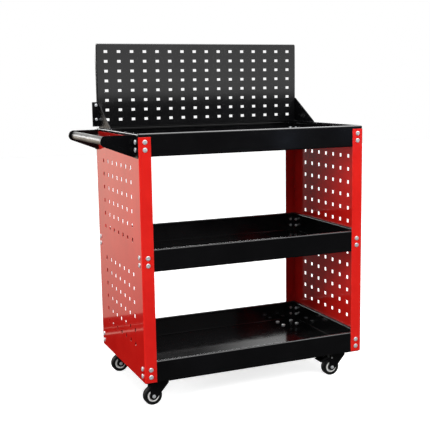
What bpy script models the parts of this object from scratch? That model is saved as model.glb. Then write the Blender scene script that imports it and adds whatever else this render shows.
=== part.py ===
"""Rolling tool cart: three steel trays bolted between two perforated side panels, a perforated board
standing over the top tray's rear rim, a push handle at the left end and four swivel casters.

Metres. X runs along the cart with the handle at -X, Y runs from the front to the board, Z is up from
the floor. Every piece is its own closed solid, and pieces that touch keep a small gap.
"""

import math

import bmesh
import bpy
from mathutils import Matrix, Vector
from mathutils.geometry import convex_hull_2d

# Frame
WIDTH = 0.660  # over the side panels
DEPTH = 0.400
PANEL_HEIGHT = 0.644
PANEL_FOOT = 0.0015  # the panels' lower edge, above the lowest tray's underside
FLANGE_WIDTH = 0.033
SHEET = 0.0012
BEND_RADIUS = 0.003
BRACKET_SHEET = 0.002
GAP = 0.0003

# Trays
TRAY_HEIGHT = 0.0575
TRAY_PITCH = 0.298
RIM_RADIUS = 0.003
RIM_INSET = 0.00285  # centre of the rolled rim, in from the wall's outer face

# Perforations: holes of the side panels and of the board
PANEL_HOLE = 0.010
PANEL_COLUMNS, PANEL_COLUMN_PITCH = 7, 0.042
PANEL_ROWS, PANEL_ROW_PITCH = 6, 0.038
PANEL_TOP_ROW = 0.562  # above the panel's lower edge
PANEL_GROUP_PITCH = 0.283
BOARD_HOLE_X, BOARD_HOLE_Z = 0.0106, 0.0076
BOARD_COLUMNS, BOARD_COLUMN_PITCH = 16, 0.0395
BOARD_ROWS, BOARD_ROW_PITCH = 8, 0.028
BOARD_LOWEST_ROW = 0.0232  # above the top tray's rim

# Board and its brackets
BOARD_WIDTH = 0.6504
BOARD_ABOVE_RIM = 0.242
BOARD_FOLD = 0.012
BRACKET_HEIGHT = 0.074
BRACKET_REACH = 0.119
BRACKET_TIP = 0.003
BRACKET_FOOT = 0.012
EAR_WIDTH = 0.017
SCREW_HEIGHTS = (0.0250, 0.0660)  # above the rim

# Handle
HANDLE_REACH = 0.0890
HANDLE_ARM_Y = 0.166
HANDLE_ROOT_HEIGHT = 0.056
HANDLE_END_RADIUS = 0.0145
TUBE_FROM_END = 0.0185  # the tube's axis, in from the arms' round ends
HANDLE_RISE = 0.0025  # of the round ends, above the arm's root
HANDLE_FLANGE = 0.031
HANDLE_BELOW_RIM = 0.006
TUBE_RADIUS = 0.011

# Fasteners
BOLT_RADIUS = 0.003
BOLT_HOLE_RADIUS = 0.0033
BOLT_HEAD_RADIUS, BOLT_HEAD_HEIGHT = 0.0062, 0.0038
NUT_RADIUS, NUT_HEIGHT = 0.0056, 0.0045
BOLT_BELOW_RIM, BOLT_PITCH = 0.0208, 0.0198
BOLT_FROM_SIDE = 0.017
WEB_BOLT_FROM_END = 0.018
SCREW_RADIUS, SCREW_HOLE_RADIUS = 0.0022, 0.0025
SCREW_HEAD_RADIUS, SCREW_HEAD_HEIGHT = 0.0045, 0.0028
SCREW_NUT_RADIUS, SCREW_NUT_HEIGHT = 0.0042, 0.003

# Casters, measured from the swivel axis on the floor
CASTER_HEIGHT = 0.076
CASTER_X, CASTER_Y = 0.2755, 0.151
WHEEL_RADIUS, WHEEL_TRAIL = 0.0254, 0.0195
TYRE_WIDTH, HUB_RADIUS, HUB_WIDTH = 0.020, 0.0162, 0.016
BOSS_RADIUS, BOSS_WIDTH = 0.008, 0.0232
AXLE_RADIUS, AXLE_HOLE_RADIUS = 0.003, 0.0033
AXLE_HEAD_RADIUS, AXLE_HEAD_HEIGHT = 0.0055, 0.0034
PLATE_X, PLATE_Y, PLATE_THICKNESS = 0.062, 0.054, 0.0025
PLATE_BOLT_X, PLATE_BOLT_Y = 0.0245, 0.020
RACE_RADIUS, RACE_HEIGHT = 0.019, 0.0045
FORK_HALF_WIDTH, FORK_SHEET = 0.014, 0.002
FORK_TOP, FORK_BACK, FORK_FRONT, FORK_SHOULDER = 0.067, -0.027, 0.0235, 0.0585
FORK_EYE_RADIUS = 0.010
DISH_RADIUS, DISH_TOP = 0.018, 0.0683
KINGPIN_RADIUS, KINGPIN_HOLE_RADIUS = 0.004, 0.0043
KINGPIN_HEAD_RADIUS, KINGPIN_HEAD_HEIGHT = 0.007, 0.0024
PEDAL_PIVOT = (-0.022, 0.0548)
PEDAL_TOP, PEDAL_TIP = (-0.0360, 0.0600), (-0.0605, 0.0478)
PEDAL_SHEET = 0.0015
PIN_RADIUS, PIN_HOLE_RADIUS, PIN_HEAD_RADIUS = 0.0022, 0.0025, 0.0036

# Levels and faces that follow
RIM_TOP = CASTER_HEIGHT + 2 * TRAY_PITCH + TRAY_HEIGHT
PANEL_X = WIDTH / 2
PANEL_Y = DEPTH / 2
TRAY_X = PANEL_X - SHEET - GAP
TRAY_Y = PANEL_Y - SHEET - GAP
BOARD_Y = TRAY_Y - BOARD_FOLD
BOARD_X = BOARD_WIDTH / 2
BOARD_TOP = RIM_TOP + BOARD_ABOVE_RIM
BRACKET_Z = RIM_TOP + GAP
HANDLE_X = PANEL_X + GAP
HANDLE_TOP = RIM_TOP - HANDLE_BELOW_RIM
HANDLE_END_X = -(PANEL_X + HANDLE_REACH - HANDLE_END_RADIUS)
HANDLE_END_Z = HANDLE_TOP + HANDLE_RISE - HANDLE_END_RADIUS
TUBE_X = -(PANEL_X + HANDLE_REACH - TUBE_FROM_END)
TUBE_Z = HANDLE_END_Z
FIRST_BOLT_Z = RIM_TOP - BOLT_BELOW_RIM
FLANGE_BOLT_X = PANEL_X - BOLT_FROM_SIDE
WEB_BOLT_Y = PANEL_Y - WEB_BOLT_FROM_END

# The origin lies under the centre of the whole cart's box
LEFT_END = -PANEL_X - HANDLE_REACH
RIGHT_END = BOARD_X + GAP + BRACKET_SHEET + GAP + SCREW_HEAD_HEIGHT
FRONT_END = -PANEL_Y - GAP - BOLT_HEAD_HEIGHT
BACK_END = PANEL_Y
CENTRE = (-(LEFT_END + RIGHT_END) / 2, -(FRONT_END + BACK_END) / 2, 0)

# Principled BSDF: base colour, metallic, roughness
FINISHES = {
    "red_paint": ((0.66, 0.016, 0.012), 0.0, 0.22),
    "black_paint": ((0.012, 0.012, 0.013), 0.0, 0.20),
    "satin_black": ((0.030, 0.030, 0.032), 0.0, 0.38),
    "tube_steel": ((0.62, 0.61, 0.59), 1.0, 0.34),
    "zinc": ((0.72, 0.74, 0.76), 1.0, 0.28),
    "rubber": ((0.018, 0.018, 0.018), 0.0, 0.55),
    "hub_plastic": ((0.78, 0.77, 0.75), 0.0, 0.40),
}
SMOOTH_ANGLE = math.radians(35)


def clear_scene():
    for obj in list(bpy.data.objects):
        bpy.data.objects.remove(obj, do_unlink=True)


def collection(name):
    made = bpy.data.collections.new(name)
    bpy.context.scene.collection.children.link(made)
    return made


clear_scene()
CART = collection("rolling_tool_cart")
CUTTERS = collection("cutters")
ROOT = bpy.data.objects.new("cart_centre", None)
ROOT.location = CENTRE
CART.objects.link(ROOT)


def material(name, finish):
    """A Principled material of its own for one piece."""
    colour, metallic, roughness = FINISHES[finish]
    made = bpy.data.materials.new(name + "_" + finish)
    made.use_nodes = True
    shader = made.node_tree.nodes["Principled BSDF"]
    shader.inputs["Base Color"].default_value = (*colour, 1)
    shader.inputs["Metallic"].default_value = metallic
    shader.inputs["Roughness"].default_value = roughness
    made.diffuse_color = (*colour, 1)
    return made


def piece(name, mesh, finish, parent=ROOT, place=(0, 0, 0), turn=(0, 0, 0)):
    """A named sub-part of the cart."""
    obj = bpy.data.objects.new(name, mesh)
    obj.parent = parent
    obj.location = place
    obj.rotation_euler = turn
    CART.objects.link(obj)
    own = mesh.copy() if mesh.materials else mesh
    obj.data = own
    own.materials.append(material(name, finish))
    return obj


def helper(name, mesh, parent=ROOT, place=(0, 0, 0), turn=(0, 0, 0)):
    """A cutter or a shape to be joined to a piece. It isn't a piece itself."""
    obj = bpy.data.objects.new(name, mesh)
    obj.parent = parent
    obj.location = place
    obj.rotation_euler = turn
    obj.hide_render = True
    obj.display_type = "WIRE"
    CUTTERS.objects.link(obj)
    return obj


def empty(name, parent, place):
    obj = bpy.data.objects.new(name, None)
    obj.parent = parent
    obj.location = place
    CART.objects.link(obj)
    return obj


def boolean(obj, operation, other):
    change = obj.modifiers.new(operation.lower() + "_" + other.name, "BOOLEAN")
    change.operation = operation
    change.object = other
    change.solver = "EXACT"


def repeat(obj, count, step):
    copies = obj.modifiers.new("repeat", "ARRAY")
    copies.count = count
    copies.use_relative_offset = False
    copies.use_constant_offset = True
    copies.constant_offset_displace = step


def finished(bm, name):
    """The mesh of a bmesh with its normals outward. Its curved faces are shaded smooth."""
    bmesh.ops.recalc_face_normals(bm, faces=bm.faces)
    mesh = bpy.data.meshes.new(name)
    bm.to_mesh(mesh)
    bm.free()
    mesh.shade_smooth()
    mesh.set_sharp_from_angle(angle=SMOOTH_ANGLE)
    return mesh


def cube(low, high):
    """A bmesh box between two corners."""
    low, high = Vector(low), Vector(high)
    bm = bmesh.new()
    place = Matrix.Translation((low + high) / 2) @ Matrix.Diagonal((*(high - low), 1))
    bmesh.ops.create_cube(bm, size=1, matrix=place)
    return bm


def box(name, low, high):
    return finished(cube(low, high), name)


def rod(name, radius, length, axis="Z", segments=10):
    """A cylinder along an axis, centred on the origin."""
    turn = {"X": Matrix.Rotation(math.pi / 2, 4, "Y"), "Y": Matrix.Rotation(math.pi / 2, 4, "X"),
            "Z": Matrix.Identity(4)}[axis]
    bm = bmesh.new()
    bmesh.ops.create_cone(bm, cap_ends=True, segments=segments, radius1=radius, radius2=radius,
                          depth=length, matrix=turn)
    return finished(bm, name)


def folded_sheet(name, low, high, open_sides, radius=BEND_RADIUS, segments=3):
    """The surface of a box without its open sides, with each remaining fold rounded."""
    bm = cube(low, high)
    bm.normal_update()
    gone = [f for f in bm.faces if any(f.normal.dot(Vector(side)) > 0.9 for side in open_sides)]
    bmesh.ops.delete(bm, geom=gone, context="FACES")
    folds = [e for e in bm.edges if len(e.link_faces) == 2]
    bmesh.ops.bevel(bm, geom=folds, offset=radius, segments=segments, profile=0.5, affect="EDGES")
    mesh = bpy.data.meshes.new(name)
    bm.to_mesh(mesh)
    bm.free()
    return mesh


def thicken(obj, thickness=SHEET):
    """Turns the open sheet into metal, with the outer face where the sheet was."""
    wall = obj.modifiers.new("sheet_metal", "SOLIDIFY")
    wall.thickness = thickness
    wall.offset = -1
    wall.use_even_offset = True


def link_outline(circles, steps=16):
    """The outline of a tapered link round circles (x, y, radius), where a radius of 0 is a corner."""
    points = []
    for x, y, radius in circles:
        count = steps if radius else 1
        for i in range(count):
            angle = 2 * math.pi * i / count
            points.append(Vector((x + radius * math.cos(angle), y + radius * math.sin(angle))))
    return [points[i] for i in convex_hull_2d(points)]


def plate(name, outline, low, high, plane):
    """A flat plate from an outline, between two depths along the normal of its plane (XZ or YZ)."""
    curve = bpy.data.curves.new(name, "CURVE")
    curve.dimensions = "2D"
    curve.fill_mode = "BOTH"
    curve.extrude = (high - low) / 2
    spline = curve.splines.new("POLY")
    spline.points.add(len(outline) - 1)
    for point, (x, y) in zip(spline.points, outline):
        point.co = (x, y, 0, 1)
    spline.use_cyclic_u = True
    guide = bpy.data.objects.new(name, curve)
    CUTTERS.objects.link(guide)
    graph = bpy.context.evaluated_depsgraph_get()
    flat = bpy.data.meshes.new_from_object(guide.evaluated_get(graph))
    bpy.data.objects.remove(guide)
    middle = (low + high) / 2
    place = {"XZ": Matrix(((1, 0, 0, 0), (0, 0, -1, middle), (0, 1, 0, 0), (0, 0, 0, 1))),
             "YZ": Matrix(((0, 0, 1, middle), (1, 0, 0, 0), (0, 1, 0, 0), (0, 0, 0, 1)))}[plane]
    bm = bmesh.new()
    bm.from_mesh(flat)
    bmesh.ops.remove_doubles(bm, verts=bm.verts, dist=1e-6)
    bm.transform(place)
    return finished(bm, name)


def turned(name, profile, steps):
    """An open or closed profile of (radius, height) points turned about Z."""
    bm = bmesh.new()
    ring = [bm.verts.new((radius, 0, height)) for radius, height in profile]
    closed = profile[0][0] > 0
    for i in range(len(ring) - (0 if closed else 1)):
        bm.edges.new((ring[i], ring[(i + 1) % len(ring)]))
    bmesh.ops.spin(bm, geom=bm.verts[:] + bm.edges[:], cent=(0, 0, 0), axis=(0, 0, 1),
                   angle=2 * math.pi, steps=steps)
    bmesh.ops.remove_doubles(bm, verts=bm.verts, dist=1e-6)
    return finished(bm, name)


def fastener(name, clamp, radius, head, nut, steps=10):
    """A bolt along -Z with its head above the origin and its nut below the clamped sheets."""
    head_radius, head_height = head
    nut_radius, nut_height = nut
    end = -clamp - nut_height - 0.0008
    profile = [(0, head_height), (0.60 * head_radius, 0.90 * head_height),
               (head_radius, 0.35 * head_height), (head_radius, 0), (radius, 0), (radius, end), (0, end)]
    bolt = helper(name + "_shape", turned(name, profile, steps))
    hexagon = helper(name + "_nut", rod(name + "_nut", nut_radius, nut_height, segments=6),
                     place=(0, 0, -clamp - nut_height / 2))
    boolean(bolt, "UNION", hexagon)
    bpy.context.view_layer.update()
    graph = bpy.context.evaluated_depsgraph_get()
    mesh = bpy.data.meshes.new_from_object(bolt.evaluated_get(graph))
    for obj in (bolt, hexagon):
        bpy.data.objects.remove(obj)
    return mesh


def hole_row(name, radius, length, axis, place, repeats, parent=ROOT):
    """A cutter for round holes, repeated by (count, step) pairs."""
    cutter = helper(name, rod(name, radius, length, axis), parent, place)
    for count, step in repeats:
        repeat(cutter, count, step)
    return cutter


# Cutters that several pieces share: each fastener's holes go through every sheet that it clamps
PAIR_STEP = (2, (0, 0, -BOLT_PITCH))
FLANGE_BOLT_HOLES = hole_row(
    "flange_bolt_holes", BOLT_HOLE_RADIUS, 0.02, "Y", (-FLANGE_BOLT_X, -PANEL_Y, FIRST_BOLT_Z),
    [PAIR_STEP, (3, (0, 0, -TRAY_PITCH)), (2, (2 * FLANGE_BOLT_X, 0, 0))])
HANDLE_BOLT_HOLES = hole_row(
    "handle_bolt_holes", BOLT_HOLE_RADIUS, 0.03, "X", (-PANEL_X, -WEB_BOLT_Y, FIRST_BOLT_Z),
    [PAIR_STEP, (2, (0, 2 * WEB_BOLT_Y, 0))])
EAR_SCREW_X = -BOARD_X - 0.0055
FOLD_SCREW_Y = BOARD_Y + 0.0065
SCREW_PITCH = SCREW_HEIGHTS[1] - SCREW_HEIGHTS[0]
EAR_SCREW_HOLES = hole_row(
    "ear_screw_holes", SCREW_HOLE_RADIUS, 0.02, "Y",
    (EAR_SCREW_X, BOARD_Y, RIM_TOP + SCREW_HEIGHTS[0]), [(2, (0, 0, SCREW_PITCH))])
FOLD_SCREW_HOLES = hole_row(
    "fold_screw_holes", SCREW_HOLE_RADIUS, 0.02, "X",
    (BOARD_X, FOLD_SCREW_Y, RIM_TOP + SCREW_HEIGHTS[0]), [(2, (0, 0, SCREW_PITCH))])


def side_panel(side, name):
    """A channel: a perforated web with a flange round the front and the back of the trays."""
    inner, outer = side * (PANEL_X - FLANGE_WIDTH), side * PANEL_X
    foot = CASTER_HEIGHT + PANEL_FOOT
    sheet = folded_sheet(name, (min(inner, outer), -PANEL_Y, foot),
                         (max(inner, outer), PANEL_Y, foot + PANEL_HEIGHT),
                         [(0, 0, 1), (0, 0, -1), (-side, 0, 0)])
    panel = piece(name, sheet, "red_paint")
    thicken(panel)
    size = PANEL_HOLE / 2
    holes = helper(name + "_perforation", box(name, (-0.01, -size, -size), (0.01, size, size)),
                   place=(outer, -PANEL_COLUMN_PITCH * (PANEL_COLUMNS - 1) / 2,
                          foot + PANEL_TOP_ROW))
    repeat(holes, PANEL_COLUMNS, (0, PANEL_COLUMN_PITCH, 0))
    repeat(holes, PANEL_ROWS, (0, 0, -PANEL_ROW_PITCH))
    repeat(holes, 2, (0, 0, -PANEL_GROUP_PITCH))
    boolean(panel, "DIFFERENCE", holes)
    boolean(panel, "DIFFERENCE", FLANGE_BOLT_HOLES)
    if side < 0:
        boolean(panel, "DIFFERENCE", HANDLE_BOLT_HOLES)


def rim_ring(name, x, y, z, corner=0.004, arc_steps=3):
    """The rolled rim: a round bar on a rectangle with small corner arcs."""
    points = []
    for quarter in range(4):
        sx, sy = ((1, 1), (-1, 1), (-1, -1), (1, -1))[quarter]
        for i in range(arc_steps + 1):
            angle = (quarter + i / arc_steps) * math.pi / 2
            points.append((sx * (x - corner) + corner * math.cos(angle),
                           sy * (y - corner) + corner * math.sin(angle), z))
    curve = bpy.data.curves.new(name, "CURVE")
    curve.dimensions = "3D"
    curve.bevel_depth = RIM_RADIUS
    curve.bevel_resolution = 2
    spline = curve.splines.new("POLY")
    spline.points.add(len(points) - 1)
    for point, place in zip(spline.points, points):
        point.co = (*place, 1)
    spline.use_cyclic_u = True
    guide = bpy.data.objects.new(name, curve)
    CUTTERS.objects.link(guide)
    graph = bpy.context.evaluated_depsgraph_get()
    mesh = bpy.data.meshes.new_from_object(guide.evaluated_get(graph))
    bpy.data.objects.remove(guide)
    return helper(name, mesh)


def tray(level, name):
    """A folded pan whose rim is rolled inwards."""
    bottom = CASTER_HEIGHT + level * TRAY_PITCH
    sheet = folded_sheet(name, (-TRAY_X, -TRAY_Y, bottom), (TRAY_X, TRAY_Y, bottom + TRAY_HEIGHT - RIM_RADIUS),
                         [(0, 0, 1)])
    pan = piece(name, sheet, "black_paint")
    thicken(pan)
    rim = rim_ring(name + "_rim", TRAY_X - RIM_INSET, TRAY_Y - RIM_INSET,
                   bottom + TRAY_HEIGHT - RIM_RADIUS)
    boolean(pan, "UNION", rim)
    boolean(pan, "DIFFERENCE", FLANGE_BOLT_HOLES)
    if level == 2:
        boolean(pan, "DIFFERENCE", HANDLE_BOLT_HOLES)


def pegboard():
    """The perforated board: its edges are folded back, and an ear sticks out beyond its left edge."""
    foot = RIM_TOP + GAP
    sheet = folded_sheet("pegboard", (-BOARD_X, BOARD_Y, foot), (BOARD_X, BOARD_Y + BOARD_FOLD, BOARD_TOP),
                         [(0, 1, 0)])
    board = piece("pegboard", sheet, "satin_black")
    thicken(board)
    half_x, half_z = BOARD_HOLE_X / 2, BOARD_HOLE_Z / 2
    holes = helper("pegboard_perforation",
                   box("pegboard_perforation", (-half_x, -0.005, -half_z), (half_x, 0.005, half_z)),
                   place=(-BOARD_COLUMN_PITCH * (BOARD_COLUMNS - 1) / 2, BOARD_Y,
                          RIM_TOP + BOARD_LOWEST_ROW))
    repeat(holes, BOARD_COLUMNS, (BOARD_COLUMN_PITCH, 0, 0))
    repeat(holes, BOARD_ROWS, (0, 0, BOARD_ROW_PITCH))
    notch = helper("pegboard_notch", box("pegboard_notch",
                   (-BOARD_X - 0.01, BOARD_Y - 0.01, foot - 0.01),
                   (-BOARD_X + 0.005, BOARD_Y + 0.03, BRACKET_Z + BRACKET_HEIGHT + 0.0006)))
    inset = SHEET / 20  # keeps the ear's faces off the board's own
    ear = helper("pegboard_ear", box("pegboard_ear",
                 (-BOARD_X - EAR_WIDTH, BOARD_Y + inset, foot + 0.004),
                 (-BOARD_X + 0.009, BOARD_Y + SHEET - inset, BRACKET_Z + BRACKET_HEIGHT)))
    boolean(board, "DIFFERENCE", holes)
    boolean(board, "DIFFERENCE", notch)
    boolean(board, "UNION", ear)
    boolean(board, "DIFFERENCE", EAR_SCREW_HOLES)
    boolean(board, "DIFFERENCE", FOLD_SCREW_HOLES)


def pegboard_brackets():
    """Triangular braces with a foot on the side rims: one clamps the ear, the other the board's fold."""
    top = BRACKET_Z + BRACKET_HEIGHT
    back, tip = BOARD_Y - GAP, BOARD_Y - GAP - BRACKET_REACH
    brace = [(back, BRACKET_Z), (back, top), (tip, BRACKET_Z + BRACKET_TIP), (tip, BRACKET_Z)]
    inner = -BOARD_X + 0.0024
    left = piece("pegboard_bracket_left",
                 plate("pegboard_bracket_left", brace, inner - BRACKET_SHEET, inner, "YZ"), "black_paint")
    flange = helper("pegboard_bracket_flange", box("pegboard_bracket_flange",
                    (-BOARD_X - EAR_WIDTH, back - BRACKET_SHEET, BRACKET_Z + 0.004),
                    (inner - 0.0001, back - 0.0001, top - 0.0001)))
    boolean(left, "UNION", flange)
    boolean(left, "UNION", bracket_foot("left", inner - 0.001, inner + BRACKET_FOOT))
    boolean(left, "DIFFERENCE", EAR_SCREW_HOLES)
    outer = BOARD_X + GAP
    strap = BOARD_Y + BOARD_FOLD
    braced = [(strap, BRACKET_Z), (strap, top), (back, top), (tip, BRACKET_Z + BRACKET_TIP),
              (tip, BRACKET_Z)]
    right = piece("pegboard_bracket_right",
                  plate("pegboard_bracket_right", braced, outer, outer + BRACKET_SHEET, "YZ"),
                  "black_paint")
    boolean(right, "UNION", bracket_foot("right", outer - BRACKET_FOOT, outer + 0.001))
    boolean(right, "DIFFERENCE", FOLD_SCREW_HOLES)


def bracket_foot(side_name, low_x, high_x):
    name = "pegboard_bracket_foot_" + side_name
    tip = BOARD_Y - GAP - BRACKET_REACH
    return helper(name, box(name, (low_x, tip + 0.004, BRACKET_Z + 0.0001),
                            (high_x, BOARD_Y - 0.006, BRACKET_Z + BRACKET_SHEET)))


def handle():
    """Two tapered arms bolted to the left panel, with a round tube between their ends."""
    outline = link_outline([(HANDLE_END_X, HANDLE_END_Z, HANDLE_END_RADIUS), (-HANDLE_X, HANDLE_TOP, 0),
                            (-HANDLE_X, HANDLE_TOP - HANDLE_ROOT_HEIGHT, 0)], steps=24)
    for side, name in ((-1, "handle_bracket_front"), (1, "handle_bracket_rear")):
        inner, outer = side * (HANDLE_ARM_Y - BRACKET_SHEET), side * HANDLE_ARM_Y
        arm = piece(name, plate(name, outline, min(inner, outer), max(inner, outer), "XZ"),
                    "black_paint")
        end = side * (HANDLE_ARM_Y + HANDLE_FLANGE)
        near = inner + side * 0.0001
        flange = helper(name + "_flange", box(name + "_flange",
                        (-HANDLE_X - BRACKET_SHEET, min(near, end),
                         HANDLE_TOP - HANDLE_ROOT_HEIGHT + 0.0001),
                        (-HANDLE_X - 0.0001, max(near, end), HANDLE_TOP - 0.0001)))
        boolean(arm, "UNION", flange)
        boolean(arm, "DIFFERENCE", HANDLE_BOLT_HOLES)
    length = 2 * (HANDLE_ARM_Y - BRACKET_SHEET - GAP)
    piece("handle_tube", rod("handle_tube", TUBE_RADIUS, length, "Y", segments=24), "tube_steel",
          place=(TUBE_X, 0, TUBE_Z))


def frame_fasteners():
    """Bolts of the front flanges and the handle, and the screws of the board's brackets."""
    head, nut = (BOLT_HEAD_RADIUS, BOLT_HEAD_HEIGHT), (NUT_RADIUS, NUT_HEIGHT)
    flange_bolt = fastener("flange_bolt", 2 * SHEET + 3 * GAP, BOLT_RADIUS, head, nut)
    handle_bolt = fastener("handle_bolt", 2 * SHEET + BRACKET_SHEET + 4 * GAP, BOLT_RADIUS, head, nut)
    facing_front, facing_left, facing_right = (math.pi / 2, 0, 0), (0, -math.pi / 2, 0), (0, math.pi / 2, 0)
    for side, side_name in ((-1, "left"), (1, "right")):
        for level, level_name in enumerate(("bottom", "middle", "top")):
            for i, place_name in enumerate(("upper", "lower")):
                height = FIRST_BOLT_Z - (2 - level) * TRAY_PITCH - i * BOLT_PITCH
                piece(f"flange_bolt_{side_name}_{level_name}_{place_name}", flange_bolt, "zinc",
                      place=(side * FLANGE_BOLT_X, -PANEL_Y - GAP, height), turn=facing_front)
    for side, side_name in ((-1, "front"), (1, "rear")):
        for i, place_name in enumerate(("upper", "lower")):
            piece(f"handle_bolt_{side_name}_{place_name}", handle_bolt, "zinc",
                  place=(-HANDLE_X - BRACKET_SHEET - GAP, side * WEB_BOLT_Y,
                         FIRST_BOLT_Z - i * BOLT_PITCH), turn=facing_left)
    screw = fastener("bracket_screw", SHEET + BRACKET_SHEET + 3 * GAP, SCREW_RADIUS,
                     (SCREW_HEAD_RADIUS, SCREW_HEAD_HEIGHT), (SCREW_NUT_RADIUS, SCREW_NUT_HEIGHT), 8)
    for height, place_name in zip(SCREW_HEIGHTS, ("lower", "upper")):
        piece(f"bracket_screw_left_{place_name}", screw, "zinc", turn=facing_front,
              place=(EAR_SCREW_X, BOARD_Y - 2 * GAP - BRACKET_SHEET, RIM_TOP + height))
        piece(f"bracket_screw_right_{place_name}", screw, "zinc", turn=facing_right,
              place=(BOARD_X + 2 * GAP + BRACKET_SHEET, FOLD_SCREW_Y, RIM_TOP + height))


def caster_plate(name, parent):
    """The top plate with the fixed half of the ball race under it."""
    top = CASTER_HEIGHT - GAP
    under = top - PLATE_THICKNESS
    bm = cube((-PLATE_X / 2, -PLATE_Y / 2, under), (PLATE_X / 2, PLATE_Y / 2, top))
    corners = [e for e in bm.edges if abs((e.verts[0].co - e.verts[1].co).z) > 1e-6]
    bmesh.ops.bevel(bm, geom=corners, offset=0.006, segments=3, profile=0.5, affect="EDGES")
    body = piece(name, finished(bm, name), "zinc", parent)
    race = helper(name + "_race", rod(name + "_race", RACE_RADIUS, RACE_HEIGHT + 0.001, segments=16),
                  parent, (0, 0, under - (RACE_HEIGHT - 0.001) / 2))
    boolean(body, "UNION", race)
    boolean(body, "DIFFERENCE", hole_row(
        name + "_bolt_holes", BOLT_HOLE_RADIUS, 0.01, "Z", (-PLATE_BOLT_X, -PLATE_BOLT_Y, under),
        [(2, (2 * PLATE_BOLT_X, 0, 0)), (2, (0, 2 * PLATE_BOLT_Y, 0))], parent))
    boolean(body, "DIFFERENCE", hole_row(
        name + "_kingpin_hole", KINGPIN_HOLE_RADIUS, 0.03, "Z", (0, 0, under), [], parent))


def caster_kingpin(name, parent):
    under_crown = FORK_TOP - FORK_SHEET - GAP
    foot, top = under_crown - KINGPIN_HEAD_HEIGHT, CASTER_HEIGHT - 2 * GAP
    profile = [(0, top), (KINGPIN_RADIUS, top), (KINGPIN_RADIUS, under_crown),
               (KINGPIN_HEAD_RADIUS, under_crown), (KINGPIN_HEAD_RADIUS, foot + 0.001),
               (0.6 * KINGPIN_HEAD_RADIUS, foot), (0, foot)]
    piece(name, turned(name, profile, 10), "zinc", parent)


def caster_fork(name, parent, braked):
    """A yoke: two tapered cheeks under a crown, with the moving half of the ball race on top."""
    cheek = link_outline([(-WHEEL_TRAIL, WHEEL_RADIUS, FORK_EYE_RADIUS), (FORK_BACK, FORK_TOP - 0.0005, 0),
                          (FORK_FRONT, FORK_TOP - 0.0005, 0), (FORK_FRONT, FORK_SHOULDER, 0)])
    inner = FORK_HALF_WIDTH - FORK_SHEET
    body = piece(name, plate(name, cheek, -FORK_HALF_WIDTH, -inner, "XZ"), "black_paint", parent)
    other = helper(name + "_cheek", plate(name + "_cheek", cheek, inner, FORK_HALF_WIDTH, "XZ"), parent)
    crown = helper(name + "_crown", box(name + "_crown",
                   (FORK_BACK + 0.0001, -FORK_HALF_WIDTH + 0.0003, FORK_TOP - FORK_SHEET),
                   (FORK_FRONT - 0.0001, FORK_HALF_WIDTH - 0.0003, FORK_TOP)), parent)
    dish_low = FORK_TOP - 0.6 * FORK_SHEET
    dish = helper(name + "_dish", rod(name + "_dish", DISH_RADIUS, DISH_TOP - dish_low, segments=16),
                  parent, (0, 0, (DISH_TOP + dish_low) / 2))
    for shape in (crown, other, dish):
        boolean(body, "UNION", shape)
    boolean(body, "DIFFERENCE", hole_row(
        name + "_kingpin_hole", KINGPIN_HOLE_RADIUS, 0.02, "Z", (0, 0, FORK_TOP), [], parent))
    boolean(body, "DIFFERENCE", hole_row(
        name + "_axle_hole", AXLE_HOLE_RADIUS, 0.04, "Y", (-WHEEL_TRAIL, 0, WHEEL_RADIUS), [], parent))
    if braked:
        pivot = (PEDAL_PIVOT[0], 0, PEDAL_PIVOT[1])
        boolean(body, "DIFFERENCE", hole_row(
            name + "_pin_hole", PIN_HOLE_RADIUS, 0.04, "Y", pivot, [], parent))


def caster_wheel(tyre_name, hub_name, parent):
    """A hub with a boss between the cheeks, and a tyre with rounded shoulders on it."""
    flat = (math.pi / 2, 0, 0)
    rim, boss = HUB_WIDTH / 2, BOSS_WIDTH / 2
    hub = [(AXLE_HOLE_RADIUS, boss), (BOSS_RADIUS, boss), (BOSS_RADIUS, rim), (HUB_RADIUS, rim),
           (HUB_RADIUS, -rim), (BOSS_RADIUS, -rim), (BOSS_RADIUS, -boss), (AXLE_HOLE_RADIUS, -boss)]
    piece(hub_name, turned(hub_name, hub, 20), "hub_plastic", parent, turn=flat)
    inside, side, shoulder = HUB_RADIUS + GAP, TYRE_WIDTH / 2, 0.0035
    tyre = [(inside, rim), (WHEEL_RADIUS - 1.5 * shoulder, side), (WHEEL_RADIUS, side - shoulder)]
    tyre += [(radius, -height) for radius, height in reversed(tyre)]
    piece(tyre_name, turned(tyre_name, tyre, 32), "rubber", parent, turn=flat)


def caster_axle(name, parent):
    """The axle bolt, with its head on the front cheek and its nut on the rear one."""
    face = FORK_HALF_WIDTH + GAP
    low = -face - AXLE_HEAD_HEIGHT
    profile = [(0, face + AXLE_HEAD_HEIGHT), (0.7 * AXLE_HEAD_RADIUS, face + AXLE_HEAD_HEIGHT),
               (AXLE_HEAD_RADIUS, face + 0.6 * AXLE_HEAD_HEIGHT), (AXLE_HEAD_RADIUS, face),
               (AXLE_RADIUS, face), (AXLE_RADIUS, -face), (AXLE_HEAD_RADIUS, -face),
               (AXLE_HEAD_RADIUS, low), (0, low)]
    piece(name, turned(name, profile, 10), "zinc", parent, (-WHEEL_TRAIL, 0, WHEEL_RADIUS),
          (math.pi / 2, 0, 0))


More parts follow.
